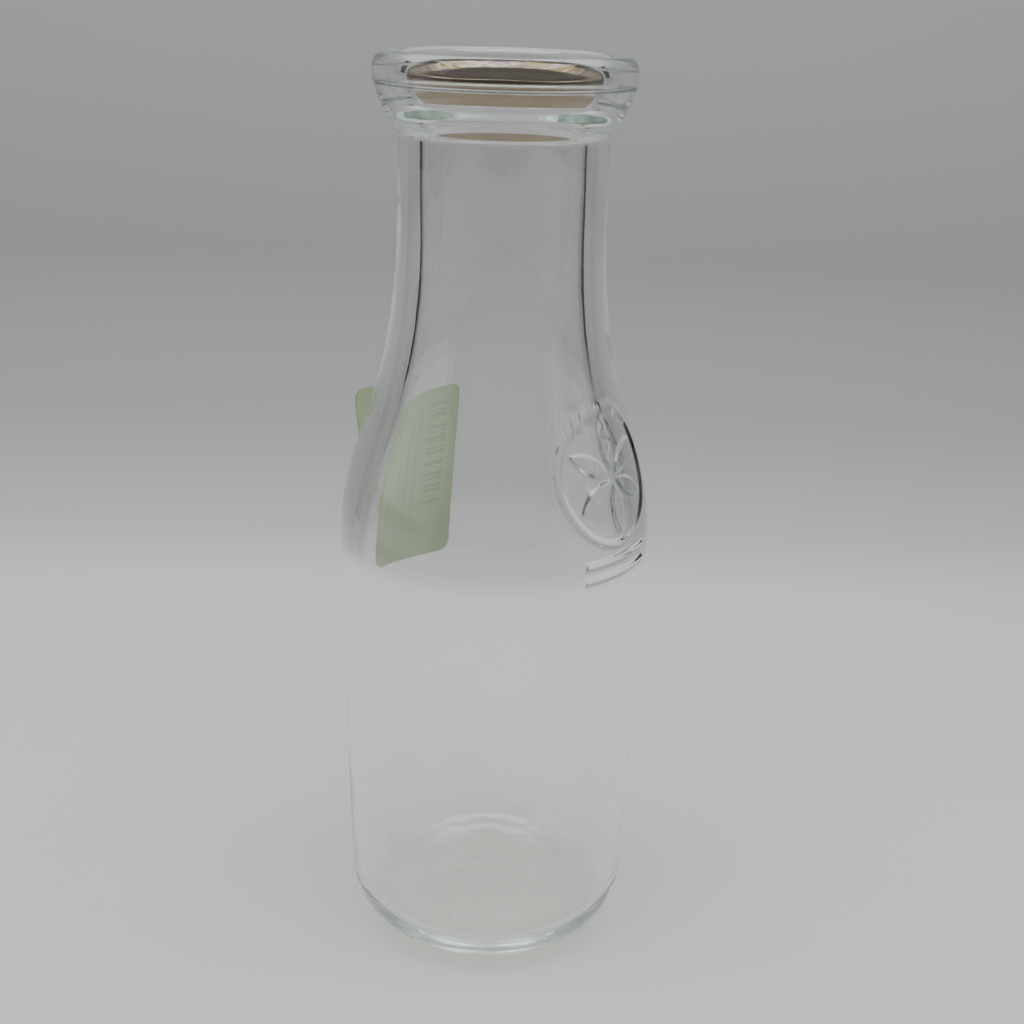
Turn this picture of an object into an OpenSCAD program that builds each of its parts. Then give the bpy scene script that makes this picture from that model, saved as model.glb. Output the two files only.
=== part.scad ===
// Tall glass milk bottle: one blown glass piece with a moulded lip, a paper disc cap
// that sits on a ledge inside the mouth, and a paper label stuck behind the shoulder.
// The origin is at the middle of the base, +Z is up, and -Y is the front.

/* [Body] */
// Height of the straight body, from the base to the start of the shoulder
body_h = 101; // [80:1:130]
// Outer radius of the body where the shoulder starts
body_r = 35.6; // [30:0.1:44]
// Outer radius of the body just above the rounded heel
foot_r = 33.6; // [28:0.1:40]
// Radius of the rounded heel
heel_round = 13; // [8:0.5:14]
// Thickness of the body wall
body_wall = 3; // [2:0.1:4.6]
// Thickness of the floor
floor_t = 4; // [3:0.1:7]
// Radius of the rounded corner between the floor and the wall, inside
inner_corner = 8.5; // [5:0.5:12]
// Height that the middle of the base is pushed up by
push_up = 1; // [0.5:0.1:2]
// Width of the flat ring that the bottle stands on
ring_w = 3; // [2:0.1:4]

/* [Shoulder and neck] */
// Height of the shoulder's double curve
shoulder_h = 76; // [60:1:92]
// Height of the neck between the shoulder and the lip
neck_h = 14; // [8:0.5:30]
// Outer radius of the neck
neck_r = 22.7; // [18:0.1:26]
// Thickness of the neck wall
neck_wall = 5.3; // [4:0.1:6.5]
// Distance that the shoulder's inner curve lies below its outer one
inner_drop = 5; // [0:0.5:8]

/* [Lip] */
// Outer radius of the lip
lip_r = 28; // [27.3:0.1:31]
// Height of the rounded underside of the lip
lip_under_h = 9.8; // [8:0.1:12]
// Height of the upright band of the lip above the parting line
lip_band_h = 3; // [2:0.1:6]
// Radius of the lip's rounded top edge
lip_round = 3.2; // [2:0.1:3.6]
// Depth of the step at the parting line
parting_step = 0.3; // [0.2:0.05:0.8]

/* [Cap] */
// Radius of the paper cap, the standard 1 5/8 inch size
cap_r = 20.65; // [17:0.05:21.5]
// Thickness of the paper cap
cap_t = 0.7; // [0.6:0.1:1.6]
// Gap between the cap's edge and the mouth
cap_gap = 0.55; // [0.3:0.05:0.6]
// Depth of the cap's top face below the top of the lip
cap_depth = 4.1; // [3:0.1:5.5]
// Width of the ledge that the cap rests on
ledge_w = 1.3; // [0.8:0.1:1.6]
// Height of the upright throat below the ledge
throat_h = 3.5; // [2:0.1:5]

/* [Label] */
// Width of the label around the bottle
label_w = 25.5; // [14:0.5:34]
// Height of the label
label_h = 41.5; // [26:0.5:56]
// Thickness of the label
label_t = 0.3; // [0.2:0.05:0.5]
// Radius of the label's corners
label_corner = 2.5; // [1:0.1:4]
// Height of the label's lower right corner above the base
label_z = 87; // [70:1:92]
// Direction of the label's right edge, from +X towards +Y
label_az = 110; // [90:1:130]
// Slope of the label's lower edge
label_tilt = 3; // [0:0.5:6]
// Distance that the label's upper edge leans in towards the shoulder
label_lean = 1; // [0:0.1:2]

/* [Raised motif] */
// Height that the motif stands out of the glass
motif_rise = 0.6; // [0.3:0.1:1]
// Outer radius of the ring around the motif
motif_r = 15; // [11:0.5:17]
// Width of the ring and of the bars
motif_line = 1.4; // [1:0.1:2]
// Number of leaves inside the ring
motif_leaves = 6; // [4:1:8]
// Direction that the motif faces, from +X towards +Y
motif_az = -38; // [-80:1:20]

/* [Hidden] */
$fn = 96;
curve_steps = 18;
arc_steps = 8;

shoulder_z = body_h;
neck_z = shoulder_z + shoulder_h;
lip_z = neck_z + neck_h;
parting_z = lip_z + lip_under_h;
lip_top = parting_z + lip_band_h + lip_round;

cap_top = lip_top - cap_depth;
ledge_z = cap_top - cap_t;
mouth_r = cap_r + cap_gap;
mouth_top_r = mouth_r + 0.1;
mouth_round = 1.9;
throat_r = mouth_r - ledge_w;
neck_bore_r = neck_r - neck_wall;
throat_z = lip_z + 4;
inner_foot_r = foot_r - body_wall;
inner_floor_z = push_up + floor_t;
label_gap = 0.08;
label_reach = 27.5;

// Points on a circular arc of radius r about [cx, cz], from angle a to angle b
function arc(cx, cz, r, a, b, n = arc_steps) =
    [for (i = [0:n]) let (t = a + (b - a) * i / n) [cx + r * cos(t), cz + r * sin(t)]];

// Cubic curve from p to q whose ends point at the guides a and b
function cubic(p, a, b, q, n = curve_steps) =
    [for (i = [0:n]) let (t = i / n, s = 1 - t)
        pow(s, 3) * p + 3 * s * s * t * a + 3 * s * t * t * b + pow(t, 3) * q];

// Cubic curve from [r0, z0] to [r1, z1] that is upright at both ends; a and b say
// how far each end stays upright, as shares of the height
function double_curve(r0, z0, r1, z1, a = 0.30, b = 0.63, n = curve_steps) =
    cubic([r0, z0], [r0, z0 + a * (z1 - z0)], [r1, z1 - b * (z1 - z0)], [r1, z1], n);

// Rounded underside of the lip, steep where it leaves the neck and nearly upright
// where it meets the parting line
function lip_under() =
    let (top_r = lip_r - parting_step)
    cubic([neck_r, lip_z],
          [neck_r + 0.46 * (top_r - neck_r), lip_z + 0.2 * lip_under_h],
          [top_r - 0.1, parting_z - 0.12 * lip_under_h],
          [top_r, parting_z], 12);

// Outer outline of the shoulder, moved out by grow
function shoulder_out(grow = 0) = double_curve(body_r + grow, shoulder_z, neck_r + grow, neck_z);

// Outer radius of the body at height z, between the heel and the shoulder
function body_r_at(z) = foot_r + (body_r - foot_r) * sin(90 * (z - heel_round) / (shoulder_z - heel_round));

function outer_outline() = concat(
    [[0, push_up], [foot_r - heel_round - ring_w - 2 * push_up, push_up]],
    [[foot_r - heel_round - ring_w, 0]],
    arc(foot_r - heel_round, heel_round, heel_round, -90, 0),
    [for (i = [1:5]) let (z = heel_round + (shoulder_z - heel_round) * i / 6) [body_r_at(z), z]],
    shoulder_out(),
    lip_under(),
    [[lip_r, parting_z]],
    arc(lip_r - lip_round, lip_top - lip_round, lip_round, 0, 90));

function inner_outline() = concat(
    [[0, inner_floor_z]],
    arc(inner_foot_r - inner_corner, inner_floor_z + inner_corner, inner_corner, -90, 0),
    [for (i = [1:5]) let (z = heel_round + (shoulder_z - heel_round) * i / 6)
        if (z < shoulder_z - inner_drop - 1) [body_r_at(z) - body_wall, z]],
    double_curve(body_r - body_wall, shoulder_z - inner_drop, neck_bore_r, neck_z - inner_drop),
    double_curve(neck_bore_r, throat_z, throat_r, ledge_z - throat_h, 0.3, 0.3, 8),
    [[throat_r, ledge_z], [mouth_r, ledge_z]],
    arc(mouth_top_r + mouth_round, lip_top - mouth_round, mouth_round, 180, 90));

// A flat pointed leaf along +X from the origin: where two circles overlap
module leaf(length, width) {
    bow = (length * length / 4 + width * width / 4) / width;
    intersection_for (side = [-1, 1])
        translate([length / 2, side * (bow - width / 2)])
            circle(bow);
}

// The motif's flat drawing: a ring, a flower of leaves and two bars below it
module motif_flat() {
    difference() {
        circle(motif_r);
        circle(motif_r - motif_line);
    }
    for (i = [0:motif_leaves - 1])
        rotate(90 + 360 * i / motif_leaves)
            translate([motif_line, 0])
                leaf(motif_r - 3 * motif_line, motif_r / 4);
    for (i = [1:2])
        translate([-motif_r * 0.7, -motif_r - 2.4 * motif_line * i])
            square([motif_r * 1.4, motif_line]);
}

// The band of the shoulder that the motif is cut out of, a little proud of the glass
module motif_shell() {
    rotate_extrude()
        polygon(concat(
            [[body_r - 1, shoulder_z - 22], [body_r_at(shoulder_z - 22) + motif_rise, shoulder_z - 22]],
            shoulder_out(motif_rise),
            [for (i = [curve_steps:-1:0]) shoulder_out(-1)[i]]));
}

module glass_bottle() {
    color([0.82, 0.88, 0.85, 0.4]) {
        rotate_extrude()
            polygon(concat(outer_outline(), [for (i = [len(inner_outline()) - 1:-1:0]) inner_outline()[i]]));
        intersection() {
            motif_shell();
            rotate([0, 0, motif_az])
                translate([neck_r - 4, 0, shoulder_z + 20])
                    rotate([90, 0, 90])
                        linear_extrude(body_r)
                            motif_flat();
        }
    }
}

module paper_cap() {
    color([0.55, 0.42, 0.24])
        translate([0, 0, ledge_z])
            cylinder(r = cap_r, h = cap_t);
}

// Distance that the label's side edge stands in at a distance d from its nearer end
function corner_inset(d) =
    d >= label_corner ? 0 : label_corner - sqrt(label_corner * label_corner - pow(label_corner - d, 2));

// A point of the label: s is the distance from its right edge, h the height above its
// lower edge and out the distance from the glass. The sheet follows the round body, and
// above the shoulder's start it stands free and grows nearly flat over label_reach.
function label_point(s, h, out) =
    let (z = label_z + h - s * tan(label_tilt),
         free = min(1, max(0, (z - shoulder_z) / label_reach)),
         r = body_r + label_gap + out - label_lean * free * free,
         bend = (1 - 0.8 * free) / (body_r + label_gap + out),
         turn = s * bend * 180 / PI)
    [r * cos(label_az) - (cos(label_az) - cos(label_az + turn)) / bend,
     r * sin(label_az) - (sin(label_az) - sin(label_az + turn)) / bend,
     z];

module paper_label() {
    cols = 10;
    rows = concat([for (i = [0:4]) label_corner * (1 - cos(18 * i))],
                  [for (i = [1:7]) label_corner + (label_h - 2 * label_corner) * i / 8],
                  [for (i = [4:-1:0]) label_h - label_corner * (1 - cos(18 * i))]);
    n = len(rows);
    side = n * (cols + 1);
    function id(i, j, k) = k * side + i * (cols + 1) + j;
    points = [for (k = [0:1]) for (h = rows) for (j = [0:cols])
        let (inset = corner_inset(min(h, label_h - h)))
        label_point(inset + (label_w - 2 * inset) * j / cols, h, k * label_t)];
    quads = concat(
        [for (i = [0:n - 2]) for (j = [0:cols - 1])
            [id(i, j, 0), id(i, j + 1, 0), id(i + 1, j + 1, 0), id(i + 1, j, 0)]],
        [for (i = [0:n - 2]) for (j = [0:cols - 1])
            [id(i, j, 1), id(i + 1, j, 1), id(i + 1, j + 1, 1), id(i, j + 1, 1)]],
        [for (i = [0:n - 2]) [id(i, 0, 0), id(i + 1, 0, 0), id(i + 1, 0, 1), id(i, 0, 1)]],
        [for (i = [0:n - 2]) [id(i, cols, 0), id(i, cols, 1), id(i + 1, cols, 1), id(i + 1, cols, 0)]],
        [for (j = [0:cols - 1]) [id(0, j, 0), id(0, j, 1), id(0, j + 1, 1), id(0, j + 1, 0)]],
        [for (j = [0:cols - 1]) [id(n - 1, j, 0), id(n - 1, j + 1, 0), id(n - 1, j + 1, 1), id(n - 1, j, 1)]]);
    triangles = [for (q = quads) each [[q[0], q[1], q[2]], [q[0], q[2], q[3]]]];
    color([0.72, 0.84, 0.66])
        polyhedron(points, triangles);
}

glass_bottle();
paper_cap();
paper_label();
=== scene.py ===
import math

import bpy
import numpy as np
from mathutils import Euler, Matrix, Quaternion, Vector


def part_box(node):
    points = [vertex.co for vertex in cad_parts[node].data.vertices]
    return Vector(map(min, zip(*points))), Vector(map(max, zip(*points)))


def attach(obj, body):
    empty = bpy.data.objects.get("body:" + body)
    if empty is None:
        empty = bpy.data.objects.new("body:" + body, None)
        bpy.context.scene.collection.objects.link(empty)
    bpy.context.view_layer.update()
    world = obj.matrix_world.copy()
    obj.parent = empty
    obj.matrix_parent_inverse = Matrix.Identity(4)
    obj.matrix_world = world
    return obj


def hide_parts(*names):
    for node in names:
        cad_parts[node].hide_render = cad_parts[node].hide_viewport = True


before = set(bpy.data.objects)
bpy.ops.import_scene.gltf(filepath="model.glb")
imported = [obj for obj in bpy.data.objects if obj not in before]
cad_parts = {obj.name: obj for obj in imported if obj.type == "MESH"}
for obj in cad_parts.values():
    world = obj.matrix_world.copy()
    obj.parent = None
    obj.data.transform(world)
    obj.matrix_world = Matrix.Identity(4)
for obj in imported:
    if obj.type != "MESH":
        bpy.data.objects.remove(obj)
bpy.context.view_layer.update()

MM = 0.001

# Sizes of the bottle in metres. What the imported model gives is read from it.
BOTTLE_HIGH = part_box("glass_bottle")[1]
CAP_LOW, CAP_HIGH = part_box("paper_cap")

LIP_TOP = BOTTLE_HIGH.z
BODY_R = BOTTLE_HIGH.x
CAP_R = CAP_HIGH.x
LEDGE_Z = CAP_LOW.z
CAP_TOP = CAP_HIGH.z

FOOT_R = BODY_R - 2 * MM
HEEL_ROUND = 13 * MM
RING_W = 3 * MM
PUSH_UP = 1 * MM
FLOOR_T = 4 * MM
FLOOR_RISE = 0.4 * MM
BODY_WALL = 3 * MM
INNER_CORNER = 8.5 * MM

LIP_R = 28 * MM
LIP_ROUND = 3.2 * MM
LIP_BAND_H = 3 * MM
LIP_UNDER_H = 9.8 * MM
PARTING_STEP = 0.3 * MM
PARTING_Z = LIP_TOP - LIP_ROUND - LIP_BAND_H
GROOVE_Z = PARTING_Z + 0.15 * MM
GROOVE_W = 0.14 * MM
GROOVE_DEPTH = 0.22 * MM
# Heights of the two thin dark rings of painted shade at the parting line.
LOW_SHADE_LINE_Z = PARTING_Z
HIGH_SHADE_LINE_Z = PARTING_Z + 0.65 * MM
LIP_Z = PARTING_Z - LIP_UNDER_H
NECK_H = 14 * MM
NECK_Z = LIP_Z - NECK_H
NECK_R = 22.7 * MM
NECK_WALL = 5.3 * MM
NECK_BORE_R = NECK_R - NECK_WALL
SHOULDER_H = 76 * MM
SHOULDER_Z = NECK_Z - SHOULDER_H
INNER_DROP = 5 * MM

CAP_GAP = 0.55 * MM
MOUTH_R = CAP_R + CAP_GAP
MOUTH_TOP_R = MOUTH_R + 0.1 * MM
MOUTH_ROUND = 1.9 * MM
LEDGE_W = 1.3 * MM
LEDGE_ROUND = 0.15 * MM
THROAT_R = MOUTH_R - LEDGE_W
THROAT_H = 3.5 * MM
THROAT_Z = LIP_Z + 4 * MM

MOTIF_AZ = math.radians(-38)
MOTIF_Z = SHOULDER_Z + 20 * MM
MOTIF_R = 15 * MM
MOTIF_LINE = 1.4 * MM
MOTIF_RISE = 0.6 * MM
MOTIF_LEAVES = 6

SEAM_AZ = math.radians(-93)
SEAM_RISE = 0.07 * MM
SEAM_W = 0.35 * MM
BLISTER_AZ = math.radians(-52)
BLISTER_Z = 119 * MM
BLISTER_W = 0.9 * MM
BLISTER_H = 1.4 * MM
BLISTER_RISE = 0.35 * MM
WAVE_RISE = 0.12 * MM
WAVES_LOW_Z = 14 * MM
WAVES_LOW_FADE = 20 * MM
WAVES_HIGH_FADE = 15 * MM

BOARD_LIFT = 0.04 * MM
BOARD_ROUND = 0.25 * MM
BOARD_MIDDLE_R = 0.5 * MM
BOARD_DISH = 0.2 * MM
PRESS_R = 0.86 * CAP_R
PRESS_W = 0.5 * MM
PRESS_DEPTH = 0.12 * MM
PRINT_DROP = 0.08 * MM

LABEL_W = 25.5 * MM
LABEL_H = 41.5 * MM
LABEL_Z = 87 * MM
LABEL_AZ = math.radians(110)
LABEL_TILT = math.tan(math.radians(3))
LABEL_LEAN = 1 * MM
LABEL_REACH = 27.5 * MM
LABEL_CORNER = 2.5 * MM
LABEL_GAP = 0.08 * MM
SHEET_LIFT = 0.05 * MM
SHEET_T = 0.12 * MM

SWEEP_LOW = -0.05 * MM
SWEEP_BEND_Y = 0.26
SWEEP_BEND_R = 0.10
LIGHT_AIM = (0.0, 0.0, 0.1)
DARK_BOARD_TURN = math.radians(65)
DARK_BOARD_AWAY = 0.5
DARK_BOARD_W = 0.08
DARK_BOARD_H = 0.17
GLASS_BOUNCES = 64


# Profiles: each returns rows of (radius, height).

def between(start, end, steps):
    """Straight run: steps points after start, the last of them at end, crowding
    towards both ends as (1 - cos) / 2 so that corners stay crisp."""
    share = 0.5 * (1 - np.cos(np.linspace(0, math.pi, steps + 1)))[1:, None]
    return (1 - share) * np.array(start) + share * np.array(end)


def arc(centre, radius, start, end, steps):
    """Round run: centre + radius * (cos, sin) of angles in degrees from start to end."""
    turn = np.radians(np.linspace(start, end, steps + 1))
    return np.array(centre) + radius * np.stack([np.cos(turn), np.sin(turn)], 1)


def cubic(points, share):
    """Cubic curve from the first to the last of four points, aiming at the middle two,
    at each share of its way."""
    back = 1 - share
    weights = np.stack([back ** 3, 3 * back ** 2 * share, 3 * back * share ** 2, share ** 3], 1)
    return weights @ np.array(points)


def double_curve(start, end, share, upright=(0.30, 0.63)):
    """Cubic curve that is upright at both ends; upright says how far each end stays
    upright, as shares of the height."""
    rise = end[1] - start[1]
    return cubic([start, (start[0], start[1] + upright[0] * rise),
                  (end[0], end[1] - upright[1] * rise), end], share)


def lip_underside(share):
    """Rounded underside of the lip: steep where it leaves the neck, nearly upright
    where it meets the parting line."""
    top_r = LIP_R - PARTING_STEP
    return cubic([(NECK_R, LIP_Z), (NECK_R + 0.46 * (top_r - NECK_R), LIP_Z + 0.2 * LIP_UNDER_H),
                  (top_r - 0.1 * MM, PARTING_Z - 0.12 * LIP_UNDER_H), (top_r, PARTING_Z)], share)


def body_radius(z):
    """Radius of the body between heel and shoulder: a quarter sine from foot to body."""
    share = np.clip((z - HEEL_ROUND) / (SHOULDER_Z - HEEL_ROUND), 0, 1)
    return FOOT_R + (BODY_R - FOOT_R) * np.sin(share * math.pi / 2)


def bottle_profile():
    """Outline of the glass, from the middle of the base, up the outside, over the lip
    and down the inside to the middle of the floor."""
    ring_in = FOOT_R - HEEL_ROUND - RING_W
    base_r = np.linspace(0.1, 1, 9) * ring_in
    base = np.stack([base_r, PUSH_UP * 0.5 * (1 + np.cos(math.pi * (base_r / ring_in) ** 2))], 1)
    heel = arc((FOOT_R - HEEL_ROUND, HEEL_ROUND), HEEL_ROUND, -90, 0, 18)
    low_z = np.linspace(HEEL_ROUND, SHOULDER_Z - 8 * MM, 15)[1:]
    high_z = np.linspace(SHOULDER_Z - 8 * MM, SHOULDER_Z, 18)[1:-1]
    body_z = np.concatenate([low_z, high_z])
    body = np.stack([body_radius(body_z), body_z], 1)
    share = np.concatenate([np.linspace(0, 0.5, 90), np.linspace(0.5, 1, 26)[1:]])
    shoulder = double_curve((BODY_R, SHOULDER_Z), (NECK_R, NECK_Z), share)
    neck = between((NECK_R, NECK_Z), (NECK_R, LIP_Z - 0.3 * MM), 6)
    under = lip_underside(np.linspace(0.03, 0.97, 20))
    groove_z = PARTING_Z + np.linspace(-0.2, 0.5, 8) * MM
    groove_depth = GROOVE_DEPTH * np.exp(-((groove_z - GROOVE_Z) / GROOVE_W) ** 2)
    step = np.stack([np.linspace(LIP_R - PARTING_STEP, LIP_R, 8) - groove_depth, groove_z], 1)
    top = arc((LIP_R - LIP_ROUND, LIP_TOP - LIP_ROUND), LIP_ROUND, 0, 90, 12)
    mouth_edge = arc((MOUTH_TOP_R + MOUTH_ROUND, LIP_TOP - MOUTH_ROUND), MOUTH_ROUND, 90, 180, 8)
    wall = between(mouth_edge[-1], (MOUTH_R, LEDGE_Z + LEDGE_ROUND), 8)
    ledge = np.concatenate([
        arc((MOUTH_R - LEDGE_ROUND, LEDGE_Z + LEDGE_ROUND), LEDGE_ROUND, 0, -90, 4)[1:],
        arc((THROAT_R + LEDGE_ROUND, LEDGE_Z - LEDGE_ROUND), LEDGE_ROUND, 90, 180, 4)])
    throat = double_curve((THROAT_R, LEDGE_Z - THROAT_H), (NECK_BORE_R, THROAT_Z),
                          np.linspace(0, 1, 14), (0.3, 0.3))
    throat = np.concatenate([between(ledge[-1], (THROAT_R, LEDGE_Z - THROAT_H), 10), throat[1:]])
    bore = between(throat[-1], (NECK_BORE_R, NECK_Z - INNER_DROP), 6)
    inside = double_curve((NECK_BORE_R, NECK_Z - INNER_DROP), (BODY_R - BODY_WALL, SHOULDER_Z - INNER_DROP),
                          np.linspace(0, 1, 34)[1:], (0.63, 0.30))
    inner_foot = FOOT_R - BODY_WALL
    inner_z = np.linspace(SHOULDER_Z - INNER_DROP, PUSH_UP + FLOOR_T + INNER_CORNER, 14)[1:-1]
    inner_body = np.stack([body_radius(inner_z) - BODY_WALL, inner_z], 1)
    corner = arc((inner_foot - INNER_CORNER, PUSH_UP + FLOOR_T + INNER_CORNER), INNER_CORNER, 0, -90, 12)
    floor = between(corner[-1], (2 * MM, PUSH_UP + FLOOR_T + FLOOR_RISE), 8)
    return np.concatenate([base, heel, body, shoulder, neck, under, step, top, mouth_edge, wall,
                           ledge, throat, bore, inside, inner_body, corner, floor])


# Relief: heights added along the outward direction, as arrays over the whole grid.

def raised(distance, soft=0.5 * MM):
    """1 inside a shape and 0 outside, with an even slope about its edge."""
    share = np.clip(0.5 - distance / soft, 0, 1)
    return share * share * (3 - 2 * share)


def motif_height(across, up):
    """Ring, flower of leaves and two bars, on flat coordinates about the ring's middle."""
    reach = np.hypot(across, up)
    shape = np.abs(reach - MOTIF_R + MOTIF_LINE / 2) - MOTIF_LINE / 2
    length = MOTIF_R - 3 * MOTIF_LINE
    width = MOTIF_R / 4
    bow = (length ** 2 / 4 + width ** 2 / 4) / width
    for turn in math.pi / 2 + 2 * math.pi * np.arange(MOTIF_LEAVES) / MOTIF_LEAVES:
        along = across * math.cos(turn) + up * math.sin(turn) - MOTIF_LINE - length / 2
        aside = -across * math.sin(turn) + up * math.cos(turn)
        leaf = np.hypot(along, np.abs(aside) + bow - width / 2) - bow
        shape = np.minimum(shape, leaf)
    for row in (1, 2):
        level = up + MOTIF_R + 2.4 * MOTIF_LINE * row - MOTIF_LINE / 2
        bar = np.maximum(np.abs(across) - 0.7 * MOTIF_R, np.abs(level) - MOTIF_LINE / 2)
        shape = np.minimum(shape, bar)
    return MOTIF_RISE * raised(shape)


def outside_relief(azimuth, r, z):
    """Motif, two mould seams opposite each other and one blister on the outer face;
    seams and blister are rises of exp(-distance squared)."""
    off = azimuth - MOTIF_AZ
    facing = np.cos(off) > 0.3
    height = np.where(facing, motif_height(r * np.sin(off), z - MOTIF_Z), 0)
    seam = np.exp(-(r * np.sin(azimuth - SEAM_AZ) / SEAM_W) ** 2)
    blister = np.exp(-(r * np.sin(azimuth - BLISTER_AZ) / BLISTER_W) ** 2
                     - ((z - BLISTER_Z) / BLISTER_H) ** 2)
    blister = np.where(np.cos(azimuth - BLISTER_AZ) > 0, blister, 0)
    return height + SEAM_RISE * seam + BLISTER_RISE * blister


def inside_waves(azimuth, z):
    """Slow unevenness of the inner face: four sines around and up the glass, dying out
    over the heel and below the lip."""
    around = 0.6 * np.sin(2 * azimuth + 1.1 + 14 * z) + 0.35 * np.sin(5 * azimuth - 0.4 + 30 * z)
    upward = 0.3 * np.sin(90 * z + 2 * azimuth) + 0.15 * np.sin(9 * azimuth + 0.8 - 40 * z)
    fade = np.clip((z - WAVES_LOW_Z) / WAVES_LOW_FADE, 0, 1) * np.clip((LIP_Z - z) / WAVES_HIGH_FADE, 0, 1)
    return WAVE_RISE * fade * (around + upward)


# Meshes

def smooth_mesh(name, points, faces):
    """A smooth-shaded object from points and faces, at the origin."""
    mesh = bpy.data.meshes.new(name)
    mesh.from_pydata(points.reshape(-1, 3).tolist(), [], faces)
    mesh.polygons.foreach_set("use_smooth", np.ones(len(mesh.polygons), bool))
    mesh.validate()
    piece = bpy.data.objects.new(name, mesh)
    bpy.context.scene.collection.objects.link(piece)
    return piece


def new_piece(name, points, faces, body):
    """A piece of the object, riding on a body."""
    piece = smooth_mesh(name, points, faces)
    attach(piece, body)
    return piece


def grid_faces(rows, columns, closed):
    """Quads between neighbouring rows of points; closed joins each row's last point
    to its first. They face out of a profile that runs up the outside."""
    steps = columns if closed else columns - 1
    row, column = np.meshgrid(np.arange(rows - 1), np.arange(steps), indexing="ij")
    here = row * columns + column
    aside = row * columns + (column + 1) % columns
    return np.stack([here, aside, aside + columns, here + columns], -1).reshape(-1, 4)


def fan_faces(pole, ring, outwards):
    """Triangles from a pole to the points of a ring."""
    after = np.roll(ring, -1)
    order = [np.full_like(ring, pole), after, ring] if outwards else [np.full_like(ring, pole), ring, after]
    return np.stack(order, 1).tolist()


def lathe(name, radius, height, azimuth, body):
    """Closed surface of revolution; radius and height are grids over (profile,
    azimuth), and both ends close on the axis."""
    rows, columns = radius.shape
    grid = np.stack([radius * np.cos(azimuth), radius * np.sin(azimuth), height], -1).reshape(-1, 3)
    poles = np.array([[0, 0, height[0].mean()], [0, 0, height[-1].mean()]])
    points = np.concatenate([grid, poles])
    first = np.arange(columns)
    last = first + (rows - 1) * columns
    faces = grid_faces(rows, columns, True).tolist()
    faces += fan_faces(rows * columns, first, True) + fan_faces(rows * columns + 1, last, False)
    return new_piece(name, points, faces, body)


def bottle_azimuths():
    """Directions of the columns, close together across the motif."""
    half = math.radians(34)
    fine = np.linspace(MOTIF_AZ - half, MOTIF_AZ + half, 161)
    coarse = np.linspace(MOTIF_AZ + half, MOTIF_AZ - half + 2 * math.pi, 132)[1:-1]
    return np.concatenate([fine, coarse])


def make_bottle():
    """The outline turned about the axis, each of its points moved along its outward
    normal by the relief, or by the waves on the inner face."""
    profile = bottle_profile()
    azimuth = bottle_azimuths()[None, :]
    tangent = np.gradient(profile, axis=0)
    tangent /= np.linalg.norm(tangent, axis=1, keepdims=True)
    r, z = profile[:, :1], profile[:, 1:]
    top_row = int(np.argmax(profile[:, 1]))
    outside = np.arange(len(profile))[:, None] <= top_row
    on_wall = outside & (z > HEEL_ROUND) & (z < LIP_Z)
    relief = np.where(on_wall, outside_relief(azimuth, r, z), 0)
    relief = relief + np.where(outside, 0, inside_waves(azimuth, z))
    radius = r + tangent[:, 1:] * relief
    height = z - tangent[:, :1] * relief
    return lathe("bottle", radius, height, azimuth, "bottle")


def make_cap():
    """Board disc with softened edges. Its top has a shallow pressed ring, a dish that
    deepens with the square of the radius, and a slight waviness near the edge."""
    low, high = LEDGE_Z + BOARD_LIFT, CAP_TOP
    flat_r = CAP_R - BOARD_ROUND
    under_r = np.linspace(BOARD_MIDDLE_R, flat_r, 26)
    under = np.stack([under_r, np.full_like(under_r, low)], 1)
    edge = np.concatenate([arc((flat_r, low + BOARD_ROUND), BOARD_ROUND, -90, 0, 4)[1:],
                           arc((flat_r, high - BOARD_ROUND), BOARD_ROUND, 0, 90, 4)])
    top_r = np.linspace(flat_r, BOARD_MIDDLE_R, 60)[1:]
    pressed = -PRESS_DEPTH * np.exp(-((top_r - PRESS_R) / PRESS_W) ** 2)
    dish = -BOARD_DISH * (1 - (top_r / CAP_R) ** 2)
    top = np.stack([top_r, high + pressed + dish], 1)
    profile = np.concatenate([under, edge, top])
    azimuth = np.linspace(0, 2 * math.pi, 145)[None, :-1]
    wave = 0.06 * MM * np.sin(3 * azimuth + 0.5) + 0.04 * MM * np.sin(7 * azimuth)
    r, z = profile[:, :1], profile[:, 1:]
    rise = np.where(z > high - BOARD_ROUND, (r / CAP_R) ** 2 * wave - PRINT_DROP, 0)
    same_all_round = r + 0 * azimuth
    return lathe("cap_board", same_all_round, z + rise, azimuth, "cap")


def label_point(along, up, out):
    """Sheet that follows the round body at its lower edge and opens out nearly flat
    where it stands free: an arc of this length along, whose bend falls with height."""
    z = LABEL_Z + up - along * LABEL_TILT
    free = np.clip((z - SHOULDER_Z) / LABEL_REACH, 0, 1)
    r = BODY_R + LABEL_GAP + out - LABEL_LEAN * free ** 2
    bend = (1 - 0.8 * free) / (BODY_R + LABEL_GAP + out)
    turn = LABEL_AZ + along * bend
    x = r * math.cos(LABEL_AZ) - (math.cos(LABEL_AZ) - np.cos(turn)) / bend
    y = r * math.sin(LABEL_AZ) - (math.sin(LABEL_AZ) - np.sin(turn)) / bend
    return np.stack([x, y, z], -1)


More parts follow.
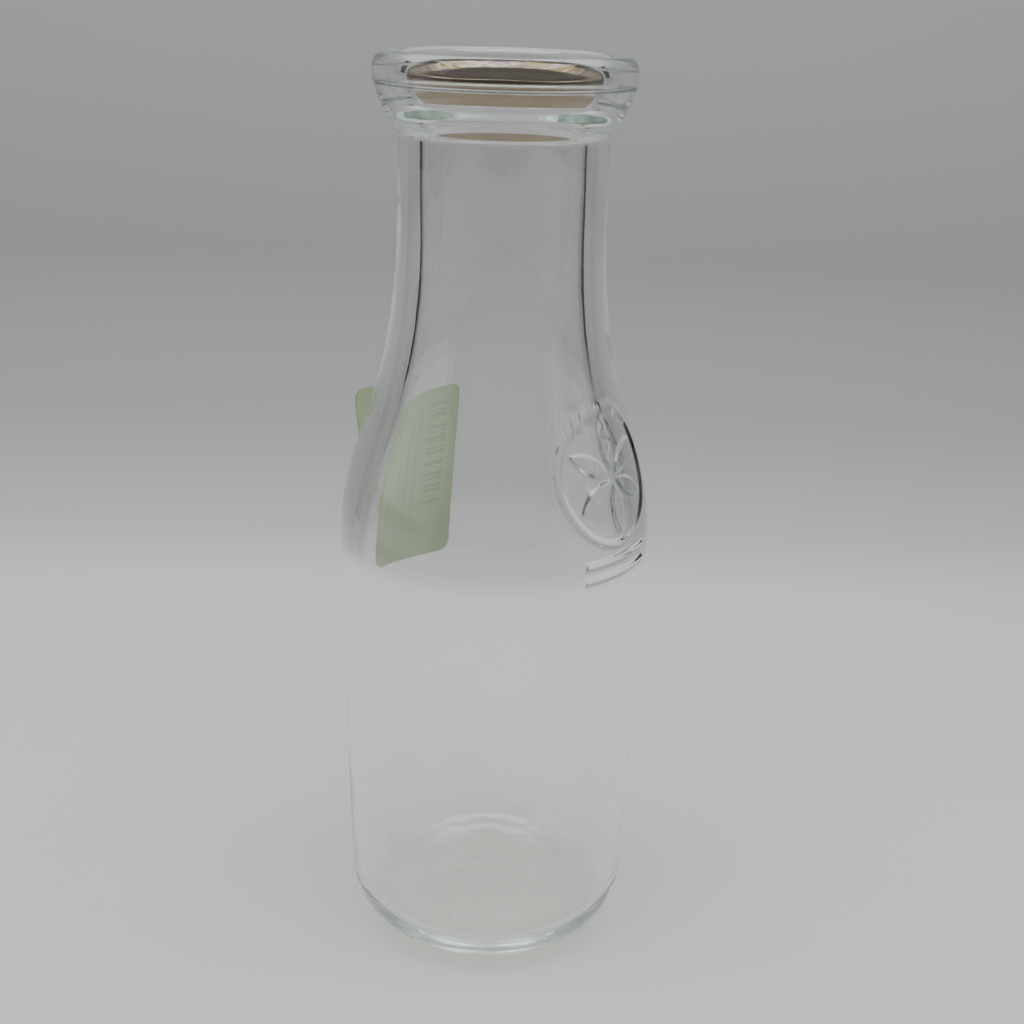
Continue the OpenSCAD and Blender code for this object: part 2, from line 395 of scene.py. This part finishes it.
def make_label():
    """Thin closed sheet: two faces a paper's thickness apart, joined at the edges. Each
    row is shortened near the ends of the sheet by a quarter circle."""
    corner = LABEL_CORNER * (1 - np.cos(np.linspace(0, math.pi / 2, 9)))
    middle = np.linspace(LABEL_CORNER, LABEL_H - LABEL_CORNER, 50)[1:-1]
    up = np.concatenate([corner, middle, LABEL_H - corner[::-1]])[:, None]
    near = np.minimum(up, LABEL_H - up)
    depth = np.clip(LABEL_CORNER - near, 0, None)
    inset = np.where(near < LABEL_CORNER, LABEL_CORNER - np.sqrt(LABEL_CORNER ** 2 - depth ** 2), 0)
    along = inset + (LABEL_W - 2 * inset) * np.linspace(0, 1, 41)[None, :]
    up = up + 0 * along
    rows, columns = along.shape
    side = rows * columns
    inner = label_point(along, up, SHEET_LIFT).reshape(-1, 3)
    outer = label_point(along, up, SHEET_LIFT + SHEET_T).reshape(-1, 3)
    grid = np.arange(side).reshape(rows, columns)
    edge = np.concatenate([grid[0, :-1], grid[:-1, -1], grid[-1, :0:-1], grid[:0:-1, 0]])
    after = np.roll(edge, -1)
    rim = np.stack([edge, edge + side, after + side, after], 1)
    inner_faces = np.roll(grid_faces(rows, columns, False)[:, ::-1], 1, axis=1)
    faces = inner_faces.tolist() + (inner_faces[:, ::-1] + side).tolist() + rim.tolist()
    piece = new_piece("label_sheet", np.concatenate([inner, outer]), faces, "bottle")
    flat = np.stack([along / LABEL_W, up / LABEL_H], -1).reshape(-1, 2)
    flat = np.concatenate([flat, flat])
    corners = np.zeros(len(piece.data.loops), int)
    piece.data.loops.foreach_get("vertex_index", corners)
    piece.data.uv_layers.new(name="sheet").data.foreach_set("uv", flat[corners].ravel())
    return piece


# Materials

class Value:
    """A number in a material; sums, products and the like on it add Math nodes."""

    def __init__(self, tree, socket):
        self.tree = tree
        self.socket = socket

    def math(self, operation, *others):
        """A Math node on this value and the others."""
        inputs = dict(enumerate((self, *others)))
        return self.tree.node("ShaderNodeMath", {"operation": operation}, inputs)[0]

    def __add__(self, other):
        return self.math("ADD", other)

    def __sub__(self, other):
        return self.math("SUBTRACT", other)

    def __rsub__(self, other):
        return self.math("MULTIPLY", -1.0).math("ADD", other)

    def __mul__(self, other):
        return self.math("MULTIPLY", other)

    __radd__ = __add__
    __rmul__ = __mul__

    def above(self, edge, soft):
        """0 below the edge and 1 above it, with a soft change of this width."""
        return ((self - edge) * (1 / soft) + 0.5).math("MAXIMUM", 0.0).math("MINIMUM", 1.0)


class Tree:
    """The node tree of a new material or world, emptied."""

    def __init__(self, owner):
        self.owner = owner
        owner.use_nodes = True
        self.nodes = owner.node_tree.nodes
        self.links = owner.node_tree.links
        self.nodes.clear()

    def node(self, kind, settings=(), inputs=()):
        """Adds a node, sets it up and fills its sockets; returns its outputs as Values."""
        made = self.nodes.new(kind)
        for key, value in dict(settings).items():
            if key == "stops":
                ramp = made.color_ramp
                while len(ramp.elements) < len(value):
                    ramp.elements.new(0.5)
                for element, (place, colour) in zip(ramp.elements, value):
                    element.position = place
                    element.color = colour
            else:
                setattr(made, key, value)
        for key, value in dict(inputs).items():
            if isinstance(value, Value):
                self.links.new(value.socket, made.inputs[key])
            else:
                made.inputs[key].default_value = value
        return [Value(self, out) for out in made.outputs]

    def place(self):
        """Object coordinates in millimetres."""
        where = self.node("ShaderNodeTexCoord")[3]
        return self.node("ShaderNodeMapping", {"vector_type": "POINT"},
                         {"Vector": where, "Scale": (1 / MM,) * 3})[0]

    def noise(self, where, scale, detail=3.0, rough=0.5, stretch=(1, 1, 1)):
        """Noise from 0 to 1; scale is in waves per millimetre."""
        spot = self.node("ShaderNodeMapping", {}, {"Vector": where, "Scale": stretch})[0]
        return self.node("ShaderNodeTexNoise", {}, {"Vector": spot, "Scale": scale, "Detail": detail,
                                                    "Roughness": rough})[0]

    def mix(self, share, first, second):
        """Colour that goes from first to second with share."""
        return self.node("ShaderNodeMix", {"data_type": "RGBA", "blend_type": "MIX"},
                         {0: share, 6: first, 7: second})[2]

    def finish(self, shader, volume=None):
        """Leads the shader, and a volume where there is one, to the material's output."""
        inside = {"Volume": volume} if volume else {}
        self.node("ShaderNodeOutputMaterial", {}, {"Surface": shader, **inside})
        return self.owner


def colour(r, g, b):
    """An opaque colour."""
    return (r, g, b, 1.0)


def glass_material():
    """Clear soda glass with a faint green body colour, slightly uneven faces and
    painted shade: two thin dark rings at the parting line. Its shadow is that of a
    pale sheet, without bright patches."""
    tree = Tree(bpy.data.materials.new("clear_glass"))
    where = tree.place()
    slow = tree.noise(where, 0.06, 2.0, 0.4, (1, 1, 0.5))
    fine = tree.noise(where, 0.5, 2.0, 0.5, (1, 1, 0.3))
    bump = tree.node("ShaderNodeBump", {}, {"Strength": 0.12, "Distance": 0.0006,
                                            "Height": slow + fine * 0.06})[0]
    specks = tree.noise(where, 1.6, 2.0, 0.6).above(0.74, 0.04)
    split = tree.node("ShaderNodeSeparateXYZ", {}, {0: where})
    reach = (split[0] * split[0] + split[1] * split[1]).math("SQRT")
    # Painted shade: two thin dark rings along the parting line, on the lip's outer face.
    low_line = 1 - (split[2] - LOW_SHADE_LINE_Z / MM).math("ABSOLUTE").above(0.15, 0.06)
    high_line = 1 - (split[2] - HIGH_SHADE_LINE_Z / MM).math("ABSOLUTE").above(0.10, 0.06)
    parting_shade = (low_line + high_line * 0.7) * reach.above(LIP_R / MM - 1.5, 0.1)
    tint = tree.mix(parting_shade * 0.85, colour(0.998, 1.0, 0.999), colour(0.10, 0.12, 0.09))
    glass = tree.node("ShaderNodeBsdfPrincipled", {}, {
        "Base Color": tint,
        "Roughness": specks * 0.1,
        "IOR": 1.52,
        "Transmission Weight": 1.0,
        "Normal": bump})[0]
    shadow = tree.node("ShaderNodeLightPath")[1]
    clear = tree.node("ShaderNodeBsdfTransparent", {}, {"Color": colour(0.81, 0.81, 0.785)})[0]
    shader = tree.node("ShaderNodeMixShader", {}, {0: shadow, 1: glass, 2: clear})[0]
    body = tree.node("ShaderNodeVolumeAbsorption", {}, {"Color": colour(0.81, 0.88, 0.84),
                                                        "Density": 10.0})[0]
    return tree.finish(shader, body)


def board_material():
    """Printed board: a brown top, whose margin has gilt and violet print and white
    patches of painted highlight that alternate with fine brown spokes, a dark edge,
    and plain tan underneath."""
    tree = Tree(bpy.data.materials.new("printed_board"))
    where = tree.place()
    split = tree.node("ShaderNodeSeparateXYZ", {}, {0: where})
    x, y, z = split[0], split[1], split[2]
    reach = (x * x + y * y).math("SQRT")
    angle = y.math("ARCTAN2", x)
    ragged = tree.noise(where, 0.9, 4.0, 0.7)
    streaks = tree.noise(where, 0.2, 3.0, 0.6, (1, 2.4, 1))
    spokes = (angle * 64.0).math("SINE") * 0.5 + 0.5
    # Gilt and violet print; the pale stop at 0.51 is a painted highlight.
    print_and_highlight = tree.node("ShaderNodeValToRGB", {"stops": [
        (0.34, colour(0.10, 0.055, 0.02)), (0.42, colour(0.26, 0.18, 0.055)),
        (0.47, colour(0.36, 0.30, 0.13)), (0.51, colour(0.55, 0.52, 0.42)),
        (0.55, colour(0.20, 0.10, 0.21)), (0.62, colour(0.30, 0.22, 0.08))]},
        {"Fac": streaks})[0]
    brown = tree.mix(ragged, colour(0.013, 0.008, 0.004), colour(0.034, 0.022, 0.012))
    spoke_colour = tree.mix(spokes * ragged, colour(0.05, 0.035, 0.02), colour(0.30, 0.24, 0.16))
    patch = ((angle * 3.0).math("SINE") + ragged * 0.6).above(-0.3, 0.4)
    margin = (reach + ragged * 1.6).above(CAP_R / MM - 1.4, 0.25)
    edge = reach.above(CAP_R / MM - 0.45, 0.1)
    ring = tree.mix(edge, tree.mix(patch, spoke_colour, print_and_highlight), brown)
    printed = tree.mix(margin, brown, ring)
    fibres = tree.noise(where, 2.2, 4.0, 0.7, (1, 1, 3))
    board = tree.mix(fibres, colour(0.40, 0.30, 0.19), colour(0.54, 0.41, 0.27))
    on_top = z.above(LEDGE_Z / MM + 0.25, 0.08)
    bump = tree.node("ShaderNodeBump", {}, {"Strength": 0.3, "Distance": 0.0002, "Height": fibres})[0]
    shader = tree.node("ShaderNodeBsdfPrincipled", {}, {
        "Base Color": tree.mix(on_top, board, printed),
        "Roughness": 0.75 - 0.35 * on_top,
        "Specular IOR Level": 0.05,
        "Normal": bump})[0]
    return tree.finish(shader)


def paper_material():
    """Thin pale green paper with faint generic bars along one side."""
    tree = Tree(bpy.data.materials.new("green_paper"))
    where = tree.place()
    spot = tree.node("ShaderNodeUVMap", {"uv_map": "sheet"})[0]
    split = tree.node("ShaderNodeSeparateXYZ", {}, {0: spot})
    along, up = split[0], split[1]
    fibres = tree.noise(where, 1.4, 4.0, 0.6)
    paper = tree.mix(fibres, colour(0.43, 0.55, 0.33), colour(0.53, 0.64, 0.43))
    rhythm = (up * 190.0).math("SINE") + (up * 83.0 + 1.0).math("SINE")
    bars = rhythm.above(0.1, 0.3)
    bars_across = along.above(0.14, 0.02) * (1 - along.above(0.36, 0.02))
    bars_up = up.above(0.30, 0.01) * (1 - up.above(0.92, 0.01))
    lines = (along * 55.0).math("SINE").above(0.3, 0.4)
    lines_across = along.above(0.45, 0.02) * (1 - along.above(0.86, 0.02))
    lines_up = up.above(0.2, 0.02) * (1 - up.above(0.9, 0.02))
    dashes = tree.noise(where, 1.1, 2.0, 0.5, (1, 1, 2)).above(0.5, 0.1)
    ink = bars * bars_across * bars_up + lines * lines_across * dashes * lines_up * 0.6
    bump = tree.node("ShaderNodeBump", {}, {"Strength": 0.2, "Distance": 0.0001, "Height": fibres})[0]
    shader = tree.node("ShaderNodeBsdfPrincipled", {}, {
        "Base Color": tree.mix(ink * 0.55, paper, colour(0.20, 0.28, 0.18)),
        "Roughness": 0.85,
        "Normal": bump})[0]
    light_through = tree.node("ShaderNodeBsdfTranslucent", {}, {"Color": colour(0.70, 0.84, 0.58)})[0]
    return tree.finish(tree.node("ShaderNodeMixShader", {}, {0: 0.35, 1: shader, 2: light_through})[0])


def sweep_material():
    """Matte pale paper backdrop, with painted shade: darker where it bends up and on the wall."""
    tree = Tree(bpy.data.materials.new("sweep_paper"))
    where = tree.place()
    shade = tree.noise(where, 0.012, 3.0, 0.5)
    split = tree.node("ShaderNodeSeparateXYZ", {}, {0: where})
    paper = tree.mix(shade, colour(0.55, 0.55, 0.545), colour(0.585, 0.585, 0.58))
    # Painted shade: the bend and the wall are painted darker, where less of the overhead light falls.
    bend = tree.mix(split[1].above(268.0, 130.0), paper, colour(0.31, 0.31, 0.31))
    shader = tree.node("ShaderNodeBsdfPrincipled", {}, {
        "Base Color": tree.mix(split[2].above(110.0, 160.0), bend, colour(0.355, 0.355, 0.355)),
        "Roughness": 0.9})[0]
    return tree.finish(shader)


def black_board_material():
    """Matte black card."""
    tree = Tree(bpy.data.materials.new("black_board"))
    shader = tree.node("ShaderNodeBsdfPrincipled", {}, {"Base Color": colour(0.01, 0.01, 0.01),
                                                        "Roughness": 1.0})[0]
    return tree.finish(shader)


def cover(piece, material):
    """Gives a piece this one material."""
    piece.data.materials.clear()
    piece.data.materials.append(material)


# Stage, lights and camera

def make_sweep():
    """Floor that turns up in a round bend into a wall behind the bottle: a line in y and
    z, carried across in x."""
    floor = np.array([[-1.4, SWEEP_LOW], [-0.3, SWEEP_LOW]])
    bend = arc((SWEEP_BEND_Y, SWEEP_BEND_R + SWEEP_LOW), SWEEP_BEND_R, -90, 0, 24)
    line = np.concatenate([floor, bend, [[SWEEP_BEND_Y + SWEEP_BEND_R, 1.6]]])
    across = np.array([-1.5, 0.0, 1.5])
    rows, columns = len(line), len(across)
    points = np.stack([np.broadcast_to(across, (rows, columns)),
                       np.broadcast_to(line[:, :1], (rows, columns)),
                       np.broadcast_to(line[:, 1:], (rows, columns))], -1)
    piece = smooth_mesh("sweep", points, grid_faces(rows, columns, False).tolist())
    return piece


def dark_board(name, turn):
    """Upright black board beside the bottle, in the direction turn from straight behind
    it; it gives the glass its dark lines and is itself unseen."""
    middle = DARK_BOARD_AWAY * np.array([math.sin(turn), math.cos(turn)])
    side = 0.5 * DARK_BOARD_W * np.array([math.cos(turn), -math.sin(turn)])
    foot = np.array([middle - side, middle + side, middle + side, middle - side])
    points = np.column_stack([foot, [1 * MM, 1 * MM, DARK_BOARD_H, DARK_BOARD_H]])
    piece = smooth_mesh(name, points, [(0, 1, 2, 3)])
    piece.visible_camera = piece.visible_diffuse = piece.visible_shadow = False
    return piece


def soft_light(name, place, size, power):
    """Rectangular light at a place, turned towards the middle of the bottle."""
    lamp = bpy.data.lights.new(name, "AREA")
    lamp.shape = "RECTANGLE"
    lamp.size, lamp.size_y = size
    lamp.energy = power
    holder = bpy.data.objects.new(name, lamp)
    bpy.context.scene.collection.objects.link(holder)
    holder.location = place
    way = Vector(LIGHT_AIM) - Vector(place)
    holder.rotation_mode = "QUATERNION"
    holder.rotation_quaternion = way.to_track_quat("-Z", "Y")
    return holder


def make_world():
    """Even room light that falls off towards the horizon."""
    world = bpy.data.worlds.new("room")
    bpy.context.scene.world = world
    tree = Tree(world)
    way = tree.node("ShaderNodeTexCoord")[0]
    upward = tree.node("ShaderNodeSeparateXYZ", {}, {0: way})[2]
    room = tree.node("ShaderNodeValToRGB", {"stops": [
        (0.0, colour(0.09, 0.09, 0.09)), (0.55, colour(0.55, 0.56, 0.57))]}, {"Fac": upward})[0]
    light = tree.node("ShaderNodeBackground", {}, {"Color": room, "Strength": 0.8})[0]
    tree.node("ShaderNodeOutputWorld", {}, {"Surface": light})


def make_camera():
    """Camera a little above the lip, tilted down, with a slight roll."""
    lens = bpy.data.cameras.new("camera")
    lens.sensor_width = 36.0
    lens.lens = 50.97
    lens.clip_start = 0.01
    camera = bpy.data.objects.new("camera", lens)
    bpy.context.scene.collection.objects.link(camera)
    camera.location = (0.0040, -0.3165, 0.2217)
    camera.rotation_mode = "QUATERNION"
    tilt = Euler((math.radians(90 - 20.24), 0, 0)).to_quaternion()
    camera.rotation_quaternion = tilt @ Quaternion((0, 0, 1), math.radians(1.665))
    bpy.context.scene.camera = camera


bottle = make_bottle()
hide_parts("glass_bottle")
cover(bottle, glass_material())

cap = make_cap()
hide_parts("paper_cap")
cover(cap, board_material())

label = make_label()
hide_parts("paper_label")
cover(label, paper_material())

cover(make_sweep(), sweep_material())
make_world()
soft_light("overhead", (0.0, -0.1, 0.9), (0.9, 0.6), 9)
soft_light("left_side", (-1.2, -0.3, 0.7), (1.4, 1.2), 4)
soft_light("right_side", (1.2, -0.2, 0.7), (1.4, 1.2), 3)
black = black_board_material()
cover(dark_board("left_board", -DARK_BOARD_TURN), black)
cover(dark_board("right_board", DARK_BOARD_TURN), black)

# Light is reflected many times inside the lip, and a path cut short would turn black.
cycles = bpy.context.scene.cycles
cycles.max_bounces = cycles.transmission_bounces = cycles.glossy_bounces = GLASS_BOUNCES
make_camera()
